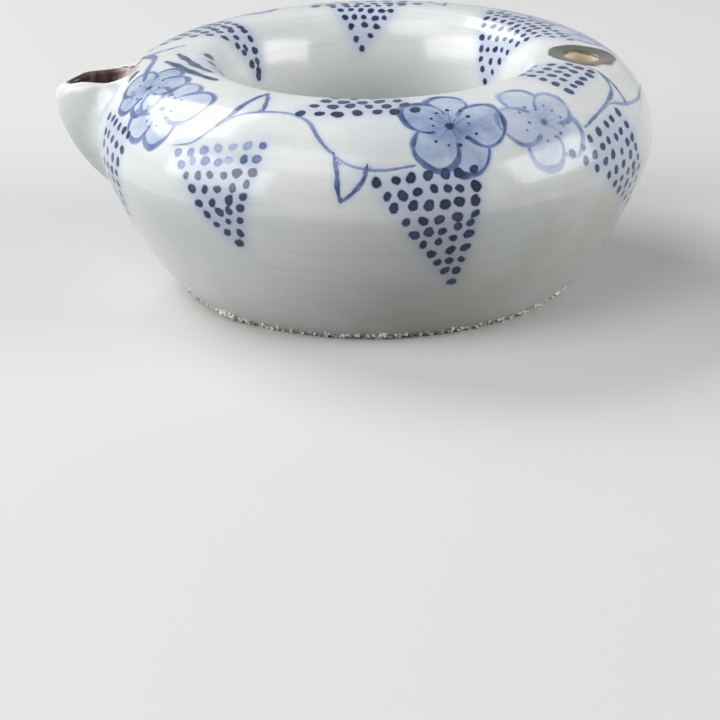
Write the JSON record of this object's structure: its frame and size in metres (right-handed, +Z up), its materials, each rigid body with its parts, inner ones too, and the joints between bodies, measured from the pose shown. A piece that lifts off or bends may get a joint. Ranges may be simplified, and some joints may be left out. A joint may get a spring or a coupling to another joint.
{
  "type": "calligraphy water dropper",
  "caption": "Hollow ring-shaped porcelain water dropper with an open well, a beak spout on one side and a filling hole on the crest.",
  "frame": {"origin": "on the ring's axis, in the plane of the table that the foot stands on", "axes": "+Z up along the ring's axis, -X along the spout, the filling hole near +X"},
  "size_m": [0.113, 0.105, 0.0448],
  "materials": {
    "glaze": "glossy bluish-white glaze over cobalt brush painting",
    "biscuit": "bare fired clay, matt and sandy",
    "slip": "bare fired slip inside the chamber",
    "inlet": "thin olive-brown glaze on the filling ring",
    "grit": "coarse kiln sand fused to the foot"
  },
  "bodies": {
    "root": {"foot_ring": "biscuit", "floor_ring": "glaze", "outer_wall": "glaze", "shoulder": "glaze", "well_wall": "glaze", "belly_seam": "slip", "crest_seam": "slip", "spout_shell": "glaze", "inlet_rim": "inlet", "kiln_grit": "grit"}
  },
  "joints": []
}
